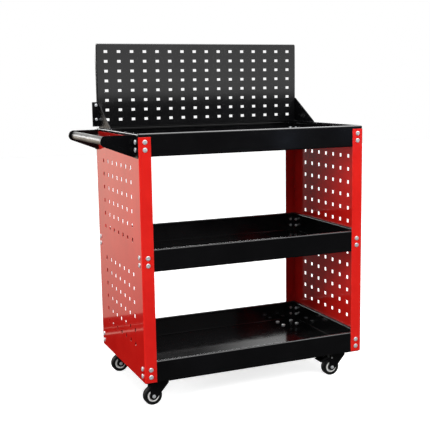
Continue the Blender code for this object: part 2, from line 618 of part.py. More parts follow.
def brake(pedal_name, pin_name, parent):
    """A foot lever that straddles the yoke, on a pin through both cheeks above the tyre."""
    pivot_x, pivot_z = PEDAL_PIVOT
    side = FORK_HALF_WIDTH + GAP
    outer = side + PEDAL_SHEET
    top, tip = Vector(PEDAL_TOP), Vector(PEDAL_TIP)
    outline = [Vector(p) - Vector(PEDAL_PIVOT) for p in
               link_outline([(*PEDAL_PIVOT, 0.0055), (*PEDAL_TOP, 0.0012), (*PEDAL_TIP, 0.0012)])]
    hinge = empty(pedal_name + "_pivot", parent, (pivot_x, 0, pivot_z))
    pedal = piece(pedal_name, plate(pedal_name, outline, -outer, -side, "XZ"), "satin_black", hinge)
    other = helper(pedal_name + "_side", plate(pedal_name + "_side", outline, side, outer, "XZ"), hinge)
    along = (tip - top).normalized()
    across = Vector((-along.y, along.x)) * PEDAL_SHEET * 0.5
    tread_outline = [p - Vector(PEDAL_PIVOT) for p in
                     (top - across, tip - across, tip + across, top + across)]
    tread = helper(pedal_name + "_tread", plate(pedal_name + "_tread", tread_outline,
                   -outer + 0.0002, outer - 0.0002, "XZ"), hinge)
    boolean(pedal, "UNION", tread)
    boolean(pedal, "UNION", other)
    boolean(pedal, "DIFFERENCE", hole_row(
        pedal_name + "_pin_hole", PIN_HOLE_RADIUS, 0.05, "Y", (0, 0, 0), [], hinge))
    face = outer + GAP
    profile = [(0, face + 0.0014), (PIN_HEAD_RADIUS * 0.7, face + 0.0014), (PIN_HEAD_RADIUS, face),
               (PIN_RADIUS, face), (PIN_RADIUS, -face), (PIN_HEAD_RADIUS, -face),
               (PIN_HEAD_RADIUS * 0.7, -face - 0.0014), (0, -face - 0.0014)]
    piece(pin_name, turned(pin_name, profile, 8), "zinc", parent, (pivot_x, 0, pivot_z),
          (math.pi / 2, 0, 0))


def casters():
    for side_x, end_name in ((-1, "left"), (1, "right")):
        for side_y, row_name in ((-1, "front"), (1, "rear")):
            corner = f"{row_name}_{end_name}"
            braked = side_x > 0
            swivel = empty(f"caster_{corner}_swivel", ROOT, (side_x * CASTER_X, side_y * CASTER_Y, 0))
            wheel = empty(f"caster_{corner}_wheel", swivel, (-WHEEL_TRAIL, 0, WHEEL_RADIUS))
            caster_plate(f"caster_plate_{corner}", swivel)
            caster_kingpin(f"caster_kingpin_{corner}", swivel)
            caster_fork(f"caster_fork_{corner}", swivel, braked)
            caster_wheel(f"caster_tyre_{corner}", f"caster_hub_{corner}", wheel)
            caster_axle(f"caster_axle_{corner}", swivel)
            if braked:
                brake(f"brake_pedal_{corner}", f"brake_pin_{corner}", swivel)


side_panel(-1, "side_panel_left")
side_panel(1, "side_panel_right")
for tray_level, tray_name in enumerate(("tray_bottom", "tray_middle", "tray_top")):
    tray(tray_level, tray_name)
pegboard()
pegboard_brackets()
handle()
frame_fasteners()
casters()
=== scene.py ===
"""Looks of the rolling tool cart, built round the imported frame.

Metres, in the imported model's frame. Pieces are modelled about the point HOME under the middle of the
trays, or about a caster's own swivel axis, and take their outer sizes from the CAD nodes that they
replace. Sheet metal is a surface of its outer face, thickened inwards, with its edges rounded.
"""

import math

import bmesh
import bpy
from mathutils import Matrix, Vector


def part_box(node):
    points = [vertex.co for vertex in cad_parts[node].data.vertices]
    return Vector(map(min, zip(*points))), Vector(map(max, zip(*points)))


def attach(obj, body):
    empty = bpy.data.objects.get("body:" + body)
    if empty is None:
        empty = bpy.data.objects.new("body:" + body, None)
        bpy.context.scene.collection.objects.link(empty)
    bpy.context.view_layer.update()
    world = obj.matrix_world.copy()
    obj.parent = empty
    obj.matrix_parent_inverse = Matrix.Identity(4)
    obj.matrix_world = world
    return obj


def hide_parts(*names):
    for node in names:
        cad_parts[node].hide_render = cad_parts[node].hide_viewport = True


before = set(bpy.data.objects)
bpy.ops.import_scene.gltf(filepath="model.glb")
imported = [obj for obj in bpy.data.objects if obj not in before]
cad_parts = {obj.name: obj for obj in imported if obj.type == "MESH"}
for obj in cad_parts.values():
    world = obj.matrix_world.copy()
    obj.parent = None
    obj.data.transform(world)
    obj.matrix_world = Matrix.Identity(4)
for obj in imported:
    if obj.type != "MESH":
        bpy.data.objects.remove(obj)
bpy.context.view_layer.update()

# Sheet metal, edges and gaps
SHEET = 0.0012
BEND = 0.003
BEND_STEPS = 6
EDGE_ROUNDING, FINE_ROUNDING, WHEEL_ROUNDING, WIDE_ROUNDING = 0.00028, 0.0002, 0.0003, 0.0004
ROUNDING_SEGMENTS = 2
GAP = 0.0003
MERGE, CAD_MERGE = 1e-6, 1e-5  # points nearer than this are joined

# Perforations
PANEL_HOLE = 0.010
PANEL_COLUMNS, PANEL_COLUMN_PITCH = 7, 0.042
PANEL_ROWS, PANEL_ROW_PITCH = 6, 0.038
PANEL_TOP_ROW = 0.562  # above the panel's lower edge
PANEL_GROUP_PITCH = 0.283
BOARD_HOLE_X, BOARD_HOLE_Z = 0.0106, 0.0076
BOARD_COLUMNS, BOARD_COLUMN_PITCH = 16, 0.0395
BOARD_ROWS, BOARD_ROW_PITCH = 8, 0.028
BOARD_LOWEST_ROW = 0.0232  # above the top tray's rim

# Trays
RIM_RADIUS, RIM_INSET = 0.003, 0.00285
RIM_CURL_END, RIM_STEPS = -100, 14  # where the rolled rim ends, in degrees from its inner side
TRAY_CORNER, TRAY_CORNER_LEAST = 0.0045, 0.0003

# Board and brackets
BOARD_NOTCH = 0.005  # the board's left edge is cut back this far beside its ear
BOARD_WIDTH, BOARD_FOLD = 0.6504, 0.012
EAR_WIDTH, EAR_FOOT = 0.017, 0.004
EAR_TO_BRACE = 0.0004
BRACKET_SHEET = 0.002
BRACKET_TIP, BRACKET_TIP_DROP, BRACKET_FOOT = 0.003, 0.0012, 0.012
BRACKET_CORNER, BRACKET_BEND, FOOT_BEND = 0.005, 0.0032, 0.0026
FOOT_FROM_TIP, LEFT_FOOT_FROM_BACK, RIGHT_FOOT_FROM_BACK = 0.004, 0.006, 0.018

# Handle
ARM_FLANGE = 0.031  # from an arm's outer face to the end of its flange
ARM_CORNER, ARM_BEND = 0.004, 0.0035
ARM_END_RADIUS, ARM_END_STEPS = 0.0145, 8
ARM_END_FLAT = 4  # degrees to each side of an arm's tip that stay flat
TUBE_RADIUS, TUBE_ROUNDING = 0.011, 0.0012

# Fasteners: radius and height of the head, radius and height of the nut, radius of the shank
BOLT = (0.0062, 0.0027, 0.0043, 0.0040, 0.003)
SCREW = (0.0045, 0.0028, 0.0044, 0.003, 0.0022)
BOLT_SEAT, SCREW_SEAT = 0.0038, 0.0028  # from the front of a CAD fastener's head to its seat
FLANGE_CLAMP, HANDLE_CLAMP, SCREW_CLAMP, PLATE_CLAMP = 0.0033, 0.0052, 0.0041, 0.0043
SHANK_TAIL, SHANK_CHAMFER = 0.0012, 0.0005
SOCKET_SHARE, SOCKET_DEPTH = 0.36, 0.0016
HEAD_EDGE, NUT_CHAMFER, NUT_SHOULDER = 0.0008, 0.0007, 0.0016
BOLT_PITCH = 0.0198
BOLT_BELOW_RIM = 0.0208
WEB_BOLT_FROM_END = 0.018

# Casters, from the swivel axis on the floor
WHEEL_RADIUS, WHEEL_TRAIL = 0.0254, 0.0195
HUB_RADIUS, HUB_HALF_WIDTH = 0.0164, 0.0092
TYRE_HALF_WIDTH, TYRE_SHOULDER, TYRE_LIP = 0.010, 0.0042, 0.0190
GROOVE_DEPTH, GROOVE_HALF_WIDTH, GROOVE_HALF_FLOOR = 0.0003, 0.0030, 0.0026
CAP_RADIUS, CAP_SEAT, CAP_RIM, CAP_FACE = 0.0108, 0.0045, 0.0066, 0.0116
CAP_BOSS = (0.0086, 0.0080, 0.0078, 0.0072)  # radii of a cap's boss, from its foot to its face
WHEEL_BORE = 0.0034
AXLE_HEAD_RADIUS, AXLE_HEAD_HEIGHT, AXLE_RADIUS = 0.0048, 0.0034, 0.003
PLATE_BOLT_X, PLATE_BOLT_Y = 0.0245, 0.020
KINGPIN_RADIUS, KINGPIN_HEAD_RADIUS = 0.004, 0.007
RACE_BORE, RACE_RADIUS = 0.0045, 0.018
FORK_HALF_WIDTH, FORK_SHEET, FORK_TOP = 0.014, 0.002, 0.067
FORK_BACK, FORK_FRONT, FORK_SHOULDER, FORK_EYE = -0.027, 0.0235, 0.0585, 0.010
FORK_BEND = 0.003
FORK_LINES = (0.040, 0.050)  # more heights at which a cheek's lines run
PEDAL_PIVOT, PEDAL_TOP, PEDAL_TIP = (-0.022, 0.0548), (-0.0360, 0.0600), (-0.0605, 0.0478)
PEDAL_SHEET, PEDAL_EYE, PEDAL_BEND, PEDAL_LIP = 0.0015, 0.0055, 0.0022, 0.0010
RIB_RADIUS = 0.0007

tray_low, tray_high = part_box("tray_top")
HOME = Vector(((tray_low.x + tray_high.x) / 2, (tray_low.y + tray_high.y) / 2, 0))
RIM_TOP = tray_high.z
CORNERS = ("front_left", "front_right", "rear_left", "rear_right")
UPRIGHT, ALONG_Y = Matrix.Identity(4), Matrix.Rotation(math.pi / 2, 4, "X")


def span(node):
    """A CAD node's lowest and highest corners, about HOME."""
    low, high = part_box(node)
    return low - HOME, high - HOME


# ---- Materials


WEAR_AND_HIGHLIGHT_PATCHES, UNEVENNESS = 150.0, 45.0  # how fine the edges' lighter patches (a painted highlight, partly wear) and the uneven gloss are
COLOUR_A, COLOUR_B, COLOUR_OUT = 6, 7, 2  # a Mix node's sockets for colours


def node_maker(owner):
    """Functions that add a node to the owner's tree and that link two sockets."""
    tree = owner.node_tree

    def add(kind, **values):
        node = tree.nodes.new(kind)
        for key, value in values.items():
            if key in node.inputs:
                node.inputs[key].default_value = value
            else:
                setattr(node, key, value)
        return node

    return add, tree.links.new


def remap(maker, value, start, end, low=0.0, high=1.0, **more):
    """A value between start and end brought to between low and high."""
    add, link = maker
    limits = {"From Min": start, "From Max": end, "To Min": low, "To Max": high}
    node = add("ShaderNodeMapRange", **limits, **more)
    link(value, node.inputs["Value"])
    return node.outputs["Result"]


def noise(maker, place, scale, detail, roughness):
    add, link = maker
    node = add("ShaderNodeTexNoise", Scale=scale, Detail=detail, Roughness=roughness)
    link(place, node.inputs["Vector"])
    return node.outputs["Fac"]


def blend(maker, share, first, second):
    """A first colour, which may be a socket, going over to a second one."""
    add, link = maker
    node = add("ShaderNodeMix", data_type="RGBA")
    link(share, node.inputs["Factor"])
    if isinstance(first, tuple):
        node.inputs[COLOUR_A].default_value = (*first, 1)
    else:
        link(first, node.inputs[COLOUR_A])
    node.inputs[COLOUR_B].default_value = (*second, 1)
    return node.outputs[COLOUR_OUT]


def finish(name, dark, light, rough, metallic=0.0, coat=0.0, coat_rough=0.08, cloud=9.0, specular=0.5,
           grain=900.0, grain_depth=0.00004, grain_strength=0.25, stretch=(1, 1, 1), wear_and_highlight=None):
    """A procedural finish: clouded colour, uneven gloss, a fine grain and, if it is given an edge colour,
    lighter patches of it: a painted highlight, partly wear.
    """
    made = bpy.data.materials.new(name)
    made.use_nodes = True
    shader = made.node_tree.nodes["Principled BSDF"]
    maker = add, link = node_maker(made)
    place = add("ShaderNodeTexCoord").outputs["Object"]
    stretched = add("ShaderNodeMapping", Scale=stretch)
    link(place, stretched.inputs["Vector"])
    along = stretched.outputs["Vector"]
    clouds = remap(maker, noise(maker, place, cloud, 5.0, 0.6), 0.35, 0.65)
    colour = blend(maker, clouds, dark, light)
    # Lighter patches; this version goes on the rounded edges, where it is a painted highlight, partly wear
    if wear_and_highlight:
        highlight_and_wear_patches = remap(maker, noise(maker, place, WEAR_AND_HIGHLIGHT_PATCHES, 4.0, 0.5), 0.40, 0.68)
        colour = blend(maker, highlight_and_wear_patches, colour, wear_and_highlight)
    link(colour, shader.inputs["Base Color"])
    gloss = remap(maker, noise(maker, along, UNEVENNESS, 6.0, 0.65), 0.3, 0.7, *rough)
    link(gloss, shader.inputs["Roughness"])
    bump = add("ShaderNodeBump", Strength=grain_strength, Distance=grain_depth)
    link(noise(maker, along, grain, 3.0, 0.55), bump.inputs["Height"])
    link(bump.outputs["Normal"], shader.inputs["Normal"])
    shader.inputs["Metallic"].default_value = metallic
    shader.inputs["Specular IOR Level"].default_value = specular
    shader.inputs["Coat Weight"].default_value = coat
    shader.inputs["Coat Roughness"].default_value = coat_rough
    return made


# Each finish: its dark and light colours, its range of roughness, the lighter colour of its edges (a painted
# highlight, partly wear), and more
PAINTS = {
    "red_paint": ((0.64, 0.012, 0.009), (0.72, 0.017, 0.012), (0.07, 0.13), (0.80, 0.07, 0.06),
                  dict(coat=0.5, coat_rough=0.03, grain=260.0, grain_depth=0.0001, grain_strength=0.05)),
    "black_paint": ((0.0022, 0.0022, 0.0026), (0.0036, 0.0036, 0.0042), (0.10, 0.19), (0.055, 0.055, 0.06),
                    dict(coat=0.35, coat_rough=0.08, grain=260.0, grain_depth=0.0001, grain_strength=0.03)),
    "dull_black": ((0.0022, 0.0022, 0.0026), (0.0036, 0.0036, 0.0042), (0.20, 0.30), (0.055, 0.055, 0.06),
                   dict(specular=0.14, grain=700.0, grain_depth=0.0001, grain_strength=0.08)),
    "satin_black": ((0.0035, 0.0035, 0.0040), (0.0060, 0.0060, 0.0065), (0.11, 0.16), (0.09, 0.09, 0.10),
                    dict(grain=1500.0, grain_depth=0.00008, grain_strength=0.06)),
    "tube_steel": ((0.21, 0.208, 0.204), (0.33, 0.328, 0.320), (0.34, 0.48), (0.50, 0.49, 0.48),
                   dict(metallic=1.0, grain=900.0, grain_depth=0.00010, grain_strength=0.5,
                        stretch=(1, 0.08, 1))),
    "zinc": ((0.62, 0.64, 0.66), (0.80, 0.82, 0.84), (0.24, 0.42), (0.92, 0.93, 0.95),
             dict(metallic=0.55, cloud=160.0, grain=1400.0, grain_depth=0.00004, grain_strength=0.3)),
    "rubber": ((0.005, 0.005, 0.005), (0.012, 0.012, 0.012), (0.42, 0.62), (0.04, 0.04, 0.04),
               dict(specular=0.25, cloud=60.0, grain=1100.0, grain_depth=0.00010, grain_strength=0.4)),
    "hub_plastic": ((0.93, 0.92, 0.90), (0.98, 0.97, 0.95), (0.24, 0.34), (0.95, 0.94, 0.92),
                    dict(cloud=80.0, grain=800.0, grain_depth=0.00005, grain_strength=0.25)),
}
FINISHES = {}
# Each finish comes twice: plain, and for the rounded edges with lighter patches, a painted highlight that
# stands partly for wear
for slot_name, (dark_colour, light_colour, roughness, edge_highlight_and_wear_colour, more) in PAINTS.items():
    FINISHES[slot_name] = (finish(slot_name, dark_colour, light_colour, roughness, **more),
                           finish(slot_name + "_edge_highlight", dark_colour, light_colour, roughness,
                                  wear_and_highlight=edge_highlight_and_wear_colour, **more))


# ---- Mesh helpers


def arc(centre, radius, start, end, steps=BEND_STEPS):
    """Points on an arc, with its angles in degrees."""
    points = []
    for i in range(steps + 1):
        angle = math.radians(start + (end - start) * i / steps)
        points.append((centre[0] + radius * math.cos(angle), centre[1] + radius * math.sin(angle)))
    return points


def corner_cuts(radius):
    """A rounded corner as (distance from the end, how far the edge is cut back there)."""
    return [(radius - x, radius - y) for x, y in arc((0, 0), radius, 0, 90)]


def mirrored(profile):
    """A profile of (radius, height) points followed by its mirror image below."""
    return profile + [(radius, -height) for radius, height in reversed(profile)]


def centred(count, pitch):
    return [(i - (count - 1) / 2) * pitch for i in range(count)]


def marks(start, end, centres, half):
    """The places along an edge where a sheet's lines run: its ends and both sides of every hole."""
    found = {start, end}
    for centre in centres:
        found |= {centre - half, centre + half}
    return sorted(found)


def in_hole(place, centres, half):
    return any(abs(place - centre) < half for centre in centres)


def strips(bm, lines, closed=False):
    """Joins lines of vertices with faces. A line of one vertex makes a fan."""
    for first, second in zip(lines, lines[1:]):
        count = max(len(first), len(second))
        for i in range(count if closed else count - 1):
            j = (i + 1) % count
            corners = [first[i % len(first)], first[j % len(first)], second[j % len(second)],
                       second[i % len(second)]]
            ring = list(dict.fromkeys(corners))
            if len(ring) > 2:
                bm.faces.new(ring)


def mesh_object(name, bm, outward=None):
    """An object of a bmesh. Outward is the side that the largest face looks to."""
    bmesh.ops.remove_doubles(bm, verts=bm.verts, dist=MERGE)
    if outward is None:
        bmesh.ops.recalc_face_normals(bm, faces=bm.faces)
    else:
        bm.normal_update()
        largest = max(bm.faces, key=lambda face: face.calc_area())
        if largest.normal.dot(Vector(outward)) < 0:
            bmesh.ops.reverse_faces(bm, faces=bm.faces)
    mesh = bpy.data.meshes.new(name)
    bm.to_mesh(mesh)
    bm.free()
    mesh.shade_smooth()
    obj = bpy.data.objects.new(name, mesh)
    bpy.context.scene.collection.objects.link(obj)
    return obj


def soften(obj, width=EDGE_ROUNDING, angle=40):
    """Rounds the edges sharper than an angle, and gives the rounding the piece's second finish, with lighter
    patches: a painted edge highlight, partly wear.
    """
    rounding = obj.modifiers.new("edges", "BEVEL")
    rounding.width = width
    rounding.segments = ROUNDING_SEGMENTS
    rounding.limit_method = "ANGLE"
    rounding.angle_limit = math.radians(angle)
    rounding.use_clamp_overlap = True
    # The rounding takes the second, lighter finish: a painted edge highlight, partly wear
    rounding.material = 1
    obj.modifiers.new("shading", "WEIGHTED_NORMAL").keep_sharp = True
    return obj


def sheet(name, bm, outward, thickness=SHEET):
    """Sheet metal from the surface of its outer face."""
    obj = mesh_object(name, bm, outward)
    wall = obj.modifiers.new("sheet", "SOLIDIFY")
    wall.thickness = thickness
    wall.offset = -1
    wall.use_even_offset = True
    return soften(obj)


def ruled(name, pairs, outward, thickness, cuts):
    """Sheet metal ruled between two edges, given as pairs of points."""
    bm = bmesh.new()
    lines = []
    for low, high in pairs:
        low, high = Vector(low), Vector(high)
        lines.append([bm.verts.new(low.lerp(high, i / cuts)) for i in range(cuts + 1)])
    strips(bm, lines)
    return sheet(name, bm, outward, thickness)


def ring_of(bm, radius, height, steps, sides, turn):
    """A ring about Z, round or with flat sides; a radius of 0 is a point."""
    if radius == 0:
        return [bm.verts.new(turn @ Vector((0, 0, height)))]
    ring = []
    for i in range(steps):
        angle = 2 * math.pi * i / steps
        reach = radius
        if sides:
            part = 2 * math.pi / sides
            reach = radius * math.cos(part / 2) / math.cos(angle % part - part / 2)
        point = Vector((reach * math.cos(angle), reach * math.sin(angle), height))
        ring.append(bm.verts.new(turn @ point))
    return ring


def turn_profile(bm, profile, steps, turn):
    """Turns (radius, height) or (radius, height, sides) points about an axis into a closed skin."""
    rings = [ring_of(bm, entry[0], entry[1], steps, entry[2] if len(entry) > 2 else 0, turn)
             for entry in profile]
    if profile[0][0] > 0:
        rings.append(rings[0])
    strips(bm, rings, closed=True)


def turned(name, profiles, steps=24, width=FINE_ROUNDING, turn=ALONG_Y):
    """A piece turned from one profile or more, with its edges rounded."""
    bm = bmesh.new()
    for profile in profiles:
        turn_profile(bm, profile, steps, turn)
    return soften(mesh_object(name, bm), width)


def settle(obj, slot, body, replaced=(), place=HOME, look=None):
    """Gives a piece its finish (its slot's or another look), its body and the CAD nodes it stands for."""
    obj.location = place
    obj.data.materials.clear()
    for made in FINISHES[look or slot]:
        obj.data.materials.append(made)
    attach(obj, body)
    if replaced:
        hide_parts(*replaced)
    return obj


# ---- Panels, trays and board


def side_panel(side, node):
    """A channel: the perforated web and its front and back flanges."""
    low, high = span(node)
    outer, inner = (low.x, high.x) if side < 0 else (high.x, low.x)
    rows = [low.z + PANEL_TOP_ROW - group * PANEL_GROUP_PITCH - row * PANEL_ROW_PITCH
            for group in range(2) for row in range(PANEL_ROWS)]
    columns = centred(PANEL_COLUMNS, PANEL_COLUMN_PITCH)
    half = PANEL_HOLE / 2
    web = marks(low.y + BEND, high.y - BEND, columns, half)
    turn = outer - side * BEND
    front = arc((turn, low.y + BEND), BEND, -90, -90 + side * 90)
    back = arc((turn, high.y - BEND), BEND, 90 - side * 90, 90)
    profile = [(inner, low.y), *front, *[(outer, y) for y in web[1:-1]], *back, (inner, high.y)]
    heights = marks(low.z, high.z, rows, half)
    bm = bmesh.new()
    grid = [[bm.verts.new((x, y, z)) for z in heights] for x, y in profile]
    for i in range(len(profile) - 1):
        on_web = profile[i][0] == outer == profile[i + 1][0]
        for j in range(len(heights) - 1):
            middle_y = (profile[i][1] + profile[i + 1][1]) / 2
            middle_z = (heights[j] + heights[j + 1]) / 2
            if on_web and in_hole(middle_y, columns, half) and in_hole(middle_z, rows, half):
                continue
            bm.faces.new((grid[i][j], grid[i + 1][j], grid[i + 1][j + 1], grid[i][j + 1]))
    settle(sheet(node + "_sheet", bm, (side, 0, 0)), "red_paint", "frame", [node])


def rounded_rectangle(half_x, half_y, radius):
    points = []
    for quarter, (sx, sy) in enumerate(((1, 1), (-1, 1), (-1, -1), (1, -1))):
        points += arc((sx * (half_x - radius), sy * (half_y - radius)), radius,
                      quarter * 90, quarter * 90 + 90)
    return points


def tray(node):
    """A pan drawn as loops from its floor up the wall and round the rolled rim."""
    low, high = span(node)
    proud = RIM_RADIUS - RIM_INSET
    half_x, half_y = high.x - proud, high.y - proud
    fold = [(d, low.z + z) for d, z in arc((BEND, BEND), BEND, -90, -180)]
    curl = arc((RIM_INSET, high.z - RIM_RADIUS), RIM_RADIUS, 180, RIM_CURL_END, RIM_STEPS)
    bm = bmesh.new()
    loops = []
    for inset, height in fold + curl:
        corner = max(TRAY_CORNER - inset, TRAY_CORNER_LEAST)
        outline = rounded_rectangle(half_x - inset, half_y - inset, corner)
        loops.append([bm.verts.new((x, y, height)) for x, y in outline])
    strips(bm, loops, closed=True)
    bm.faces.new(loops[0])
    settle(sheet(node + "_pan", bm, (0, 0, -1)), "black_paint", "frame", [node])


def pegboard():
    """The perforated board, folded back along its four edges, with the ear at its left foot."""
    low, high = span("pegboard")
    face, edge = low.y, BOARD_WIDTH / 2
    columns = centred(BOARD_COLUMNS, BOARD_COLUMN_PITCH)
    rows = [RIM_TOP + BOARD_LOWEST_ROW + i * BOARD_ROW_PITCH for i in range(BOARD_ROWS)]
    half_x, half_z = BOARD_HOLE_X / 2, BOARD_HOLE_Z / 2
    notch_top = span("pegboard_bracket_left")[1].z + 2 * GAP
    notch_x = -edge + BOARD_NOTCH
    ear_foot = low.z + EAR_FOOT

    def folded(start, end, inner):
        """Marks from fold to fold, as (place along the board, set-back behind its face)."""
        first = arc((start + BEND, BEND), BEND, -180, -90)
        last = arc((end - BEND, BEND), BEND, -90, 0)
        return [(start, BOARD_FOLD), *first, *[(m, 0) for m in inner], *last, (end, BOARD_FOLD)]

    across = folded(-edge, edge, marks(notch_x, notch_x, columns, half_x))
    up = folded(low.z, high.z, marks(ear_foot, notch_top, rows, half_z))
    bm = bmesh.new()
    grid = [[bm.verts.new((x, face + back_x + back_z, z)) for z, back_z in up] for x, back_x in across]
    for i in range(len(across) - 1):
        for j in range(len(up) - 1):
            x = (across[i][0] + across[i + 1][0]) / 2
            z = (up[j][0] + up[j + 1][0]) / 2
            folded_x = max(across[i][1], across[i + 1][1]) > 0
            folded_z = max(up[j][1], up[j + 1][1]) > 0
            in_corner = folded_x and folded_z
            in_notch = x < notch_x and z < notch_top
            if in_corner or in_notch or (in_hole(x, columns, half_x) and in_hole(z, rows, half_z)):
                continue
            bm.faces.new((grid[i][j], grid[i + 1][j], grid[i + 1][j + 1], grid[i][j + 1]))
    ear = [z for z, back in up if not back and ear_foot <= z <= notch_top]
    strips(bm, [[bm.verts.new((x, face, z)) for z in ear] for x in (low.x, notch_x)])
    bmesh.ops.remove_doubles(bm, verts=bm.verts, dist=MERGE)
    loose = [v for v in bm.verts if not v.link_faces]
    bmesh.ops.delete(bm, geom=loose, context="VERTS")
    settle(sheet("pegboard_sheet", bm, (0, -1, 0)), "satin_black", "frame", ["pegboard"])


def brace_outline(side, low, high, outer):
    """The lines of a brace: on the left a flange behind the board comes first, then the taper to the tip."""
    if side < 0:
        back = high.y - BRACKET_SHEET
        foot, start = low.z + EAR_FOOT, back - BRACKET_BEND
        pairs = [((low.x + reach, back, foot + drop), (low.x + reach, back, high.z - drop))
                 for reach, drop in corner_cuts(BRACKET_CORNER)]
        pairs += [((x, y, foot), (x, y, high.z))
                  for x, y in arc((outer - BRACKET_BEND, start), BRACKET_BEND, 90, 0)]
    else:
        start = high.y - BOARD_FOLD
        pairs = [((outer, high.y, low.z), (outer, high.y, high.z))]
    for share in (0, 0.25, 0.5, 0.75, 0.97, 1):
        y = start + (low.y - start) * share
        top = high.z + (low.z + BRACKET_TIP - high.z) * share
        if share == 1:
            top -= BRACKET_TIP_DROP
        pairs.append(((outer, y, low.z), (outer, y, top)))
    return pairs


def brackets():
    """Both braces of the board. Each stands on a side rim with a foot turned inwards."""
    left_face = span("pegboard")[0].x + EAR_WIDTH + EAR_TO_BRACE
    for side, node in ((-1, "pegboard_bracket_left"), (1, "pegboard_bracket_right")):
        low, high = span(node)
        outer = left_face if side < 0 else high.x
        lines = brace_outline(side, low, high, outer)
        brace = ruled(node + "_brace", lines, (side, 0, 0), BRACKET_SHEET, cuts=4)
        settle(brace, "black_paint", "frame", [node], look="dull_black")
        front = low.y + FOOT_FROM_TIP
        back = high.y - (LEFT_FOOT_FROM_BACK if side < 0 else RIGHT_FOOT_FROM_BACK)
        profile = [(outer - side * inset, low.z + z)
                   for inset, z in arc((FOOT_BEND, FOOT_BEND), FOOT_BEND, 180, 270)]
        profile.append((outer - side * (BRACKET_FOOT + BRACKET_SHEET), low.z))
        lines = [((x, front, z), (x, back, z)) for x, z in profile]
        foot = ruled(node + "_foot", lines, (0, 0, -1), BRACKET_SHEET, cuts=4)
        settle(foot, "black_paint", "frame", look="dull_black")


# ---- Handle


def tangent(corner, centre, radius, side):
    """Where a line from a corner touches a circle, left (1) or right (-1) of the way out to the corner."""
    to = Vector(corner) - Vector(centre)
    lean = math.acos(radius / to.length)
    angle = math.atan2(to.y, to.x) + side * lean
    return centre[0] + radius * math.cos(angle), centre[1] + radius * math.sin(angle)


def handle_arms():
    """Tapered arms with a round end, folded outwards into the flange that is bolted to the panel."""
    tube_low, tube_high = span("handle_tube")
    tube_z = (tube_low.z + tube_high.z) / 2
    for side, node in ((-1, "handle_bracket_front"), (1, "handle_bracket_rear")):
        low, high = span(node)
        end_y = low.y if side < 0 else high.y
        arm_y = end_y - side * ARM_FLANGE
        root, top, foot = high.x, high.z, low.z
        face = root - BRACKET_SHEET
        round_end = (low.x + ARM_END_RADIUS, tube_z)
        upper = tangent((root, top), round_end, ARM_END_RADIUS, 1)
        lower = tangent((root, foot), round_end, ARM_END_RADIUS, -1)

        def edge(x, near, far):
            """The height of an edge that runs straight from the root to a far point."""
            return near + (far[1] - near) * (root - x) / (root - far[0])

        pairs = []
        for reach, drop in corner_cuts(ARM_CORNER):
            y = end_y - side * reach
            pairs.append(((face, y, foot + drop), (face, y, top - drop)))
        for reach, rise in corner_cuts(ARM_BEND):
            x, y = face - reach, arm_y + side * rise
            pairs.append(((x, y, edge(x, foot, lower)), (x, y, edge(x, top, upper))))
        start = face - ARM_BEND
        for share in (0.25, 0.5, 0.75, 1):
            x_up = start + (upper[0] - start) * share
            x_down = start + (lower[0] - start) * share
            pairs.append(((x_down, arm_y, edge(x_down, foot, lower)),
                          (x_up, arm_y, edge(x_up, top, upper))))
        up_angle = math.degrees(math.atan2(upper[1] - tube_z, upper[0] - round_end[0]))
        down_angle = math.degrees(math.atan2(lower[1] - tube_z, lower[0] - round_end[0])) % 360
        ups = arc(round_end, ARM_END_RADIUS, up_angle, 180 - ARM_END_FLAT, ARM_END_STEPS)
        downs = arc(round_end, ARM_END_RADIUS, down_angle, 180 + ARM_END_FLAT, ARM_END_STEPS)
        for (x_up, z_up), (x_down, z_down) in list(zip(ups, downs))[1:]:
            pairs.append(((x_down, arm_y, z_down), (x_up, arm_y, z_up)))
        arm = ruled(node + "_arm", pairs, (0, side, 0), BRACKET_SHEET, cuts=4)
        settle(arm, "black_paint", "frame", [node], look="dull_black")


def handle_tube():
    """The push bar: a tube with rounded ends, screwed between the arms."""
    low, high = span("handle_tube")
    half = (high.y - low.y) / 2
    profile = [(0, half), (TUBE_RADIUS - TUBE_ROUNDING, half), (TUBE_RADIUS, half - TUBE_ROUNDING)]
    profile += [(TUBE_RADIUS, half * share) for share in (0.9, 0.45, 0, -0.45, -0.9)]
    profile += [(radius, -height) for radius, height in reversed(profile[:3])]
    tube = turned("handle_push_bar", [profile], steps=48, width=WIDE_ROUNDING)
    middle = Vector(((low.x + high.x) / 2, 0, (low.z + high.z) / 2))
    settle(tube, "tube_steel", "frame", ["handle_tube"], place=HOME + middle)


# ---- Fasteners


def fastener(name, kind, clamp, turn):
    """A button-head screw with a hexagonal socket, and its nut on the far side of the clamped sheets."""
    head_radius, head_height, nut_radius, nut_height, radius = kind
    socket = SOCKET_SHARE * head_radius
    mouth = 1.25 * socket
    floor = head_height - min(SOCKET_DEPTH, 0.6 * head_height)
    screw = [(0, floor), (socket, floor, 6), (socket, head_height - 0.0001, 6), (mouth, head_height)]
    for step in range(1, 6):
        angle = math.radians(90 * step / 5)
        screw.append((mouth + (head_radius - mouth) * math.sin(angle),
                      HEAD_EDGE + (head_height - HEAD_EDGE) * math.cos(angle)))
    near, far = -clamp, -clamp - nut_height
    end = far - SHANK_TAIL
    screw += [(head_radius, 0), (radius, 0), (radius, end + SHANK_CHAMFER), (radius - SHANK_CHAMFER, end),
              (0, end)]
    nut = [(radius, near), (0.86 * nut_radius, near), (nut_radius, near - NUT_CHAMFER, 6),
           (nut_radius, far + NUT_SHOULDER, 6), (0.90 * nut_radius, far + NUT_CHAMFER),
           (0.72 * nut_radius, far), (radius, far)]
    return turned(name, [screw, nut], turn=turn)


FACING = {
    "front": ALONG_Y,
    "rear": Matrix.Rotation(-math.pi / 2, 4, "X"),
    "left": Matrix.Rotation(-math.pi / 2, 4, "Y"),
    "right": Matrix.Rotation(math.pi / 2, 4, "Y"),
    "up": UPRIGHT,
}


def bolt_at(name, point, facing, clamp=FLANGE_CLAMP, nodes=(), kind=BOLT, origin=HOME):
    bolt = fastener(name, kind, clamp, FACING[facing])
    settle(bolt, "zinc", "frame", nodes, place=origin + Vector(point))


